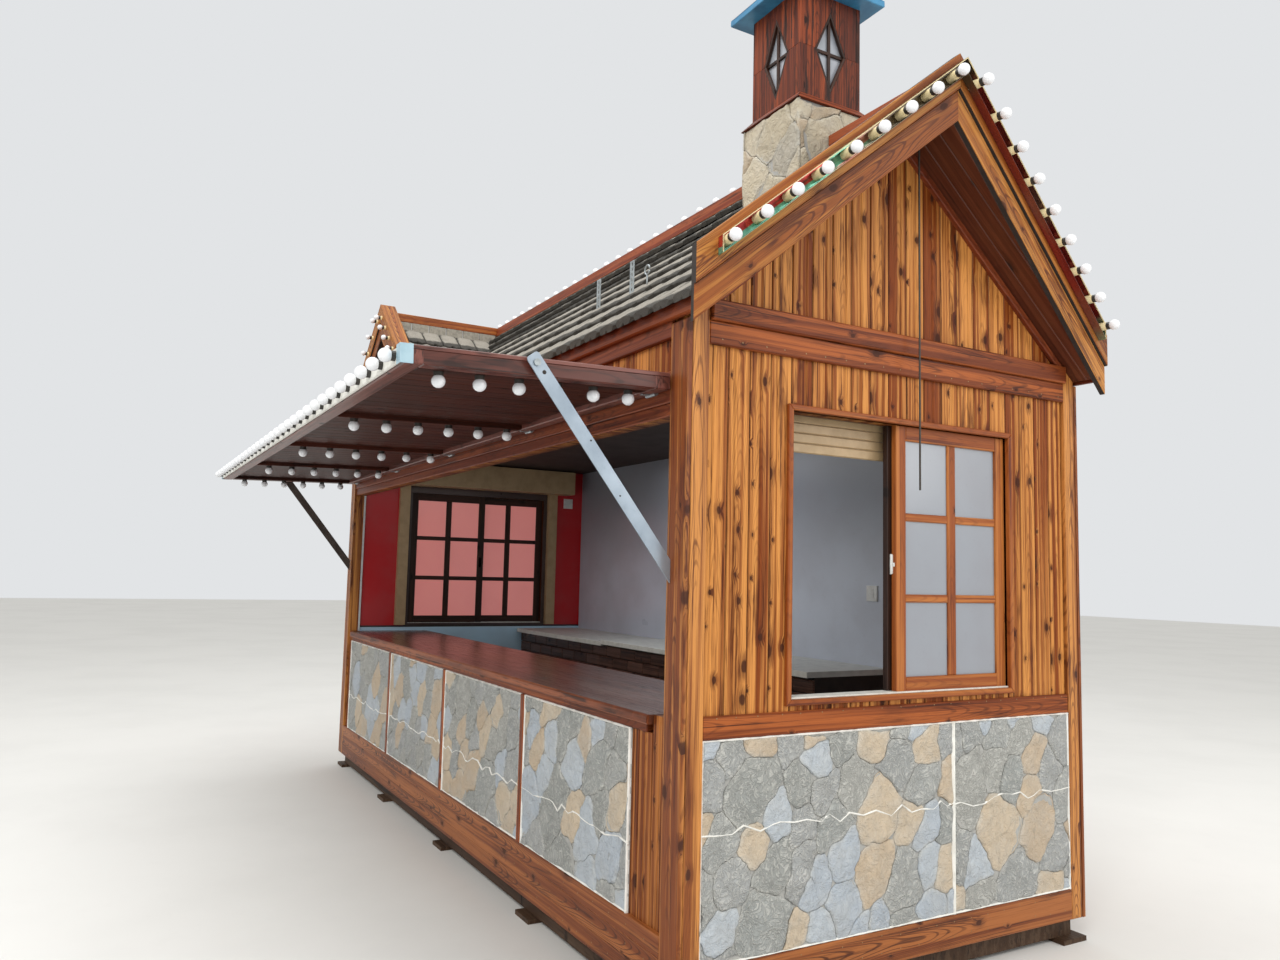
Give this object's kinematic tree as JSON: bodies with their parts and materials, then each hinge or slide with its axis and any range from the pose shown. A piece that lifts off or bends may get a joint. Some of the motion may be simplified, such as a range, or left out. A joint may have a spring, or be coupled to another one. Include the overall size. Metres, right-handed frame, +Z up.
{
  "type": "wooden market hut",
  "caption": "Timber sales hut with a top-hung serving hatch on flat struts, sliding side windows, stone-look dado, steep tiled roof with a cross gable, lantern chimney and rows of bulbs.",
  "frame": {"origin": "on the ground, under the middle of the box around the hut with its hatch open", "axes": "+X along the ridge to the glazed gable nearest the chimney, -Y to the serving side, +Z up"},
  "size_m": [5.7832, 3.1863, 4.46],
  "materials": {
    "steel_frame": "painted steel",
    "plywood_floor": "plywood",
    "post_wood": "stained planed board",
    "wall_wood": "scorched and oiled boards",
    "rail_wood": "red-brown stain",
    "counter_wood": "dark brown gloss",
    "stone_panel": "moulded stone look",
    "batten_wood": "stained",
    "soffit_wood": "dark brown boards",
    "roof_tile": "grey granule-coated shingle",
    "barge_wood": "stained figured board",
    "strip_metal": "polished profile",
    "bulb_white": "opal globe, cream socket, black collar",
    "chimney_stone": "rubble stone look",
    "lantern_wood": "dark brown boards",
    "opal_pane": "milky",
    "cap_metal": "sky-blue paint",
    "lining_panel": "smooth wall panel",
    "ceiling_panel": "dark",
    "shutter_metal": "tan",
    "worktop_panel": "laminate",
    "cabinet_wood": "dark brown board",
    "hatch_wood": "dark purple-brown stain",
    "edge_metal": "off-white",
    "cap_blue": "pale blue",
    "galvanised": "galvanised",
    "cable_black": "sheath"
  },
  "bodies": {
    "hut": {"base_frame": "steel_frame", "floor_deck": "plywood_floor", "corner_posts": "post_wood", "front_dado": "wall_wood", "counter_top": "counter_wood", "front_header": "wall_wood", "back_wall": "wall_wood", "gable_wall_right": "wall_wood", "gable_wall_left": "wall_wood", "skirt_boards": "wall_wood", "wall_rails": "rail_wood", "stone_panels_front": "stone_panel", "stone_panels_back": "stone_panel", "stone_panels_gables": "stone_panel", "panel_battens": "batten_wood", "eaves_fascia": "rail_wood", "head_beam": "wall_wood", "roof_deck_front": "soffit_wood", "roof_deck_back": "soffit_wood", "roof_tiles_front": "roof_tile", "roof_tiles_back": "roof_tile", "bargeboards": "barge_wood", "light_strips": "strip_metal", "gable_bulbs": "bulb_white", "soffit_trims": "rail_wood", "ridge_boards": "rail_wood", "roof_bulbs": "bulb_white", "chimney_stack": "chimney_stone", "lantern_body": "lantern_wood", "lantern_panes": "opal_pane", "lantern_cap": "cap_metal", "dormer_body": "wall_wood", "dormer_tiles": "roof_tile", "dormer_bargeboards": "barge_wood", "dormer_ridge": "barge_wood", "window_casings": "wall_wood", "window_sashes": "barge_wood", "window_panes": "opal_pane", "wall_linings": "lining_panel", "ceiling": "ceiling_panel", "roller_shutters": "shutter_metal", "shutter_curtain": "shutter_metal", "worktop": "worktop_panel", "cabinet": "cabinet_wood", "back_door": "wall_wood", "roof_uprights": "galvanised", "hanging_cable": "cable_black", "hinge_brackets": "galvanised"},
    "hatch": {"hatch_frame": "hatch_wood", "hatch_lining": "hatch_wood", "hatch_cladding": "hatch_wood", "hatch_edge_strip": "edge_metal", "hatch_corner_caps": "cap_blue", "hatch_bulbs": "bulb_white", "hatch_fittings": "galvanised"},
    "strut_right": {"strut_right": "galvanised"},
    "strut_left": {"strut_left": "galvanised"}
  },
  "joints": [
    {"name": "hatch_hinge", "type": "hinge", "parent": "hut", "child": "hatch", "pos_m": [0, -0.56992, 2.192], "axis": [1, 0, 0], "range_deg": [0, 88]},
    {"name": "strut_right_bolt", "type": "hinge", "parent": "hatch", "child": "strut_right", "pos_m": [2.4295, -1.08889, 2.21952], "axis": [1, 0, 0], "range_deg": [-126.2, 0]},
    {"name": "strut_left_bolt", "type": "hinge", "parent": "hatch", "child": "strut_left", "pos_m": [-2.4295, -1.08889, 2.21952], "axis": [1, 0, 0], "range_deg": [-126.2, 0]}
  ],
  "couplings": [
    {"joint": "strut_right_bolt", "follows": "hatch_hinge", "ratio": -1.4331},
    {"joint": "strut_left_bolt", "follows": "hatch_hinge", "ratio": -1.4331}
  ]
}
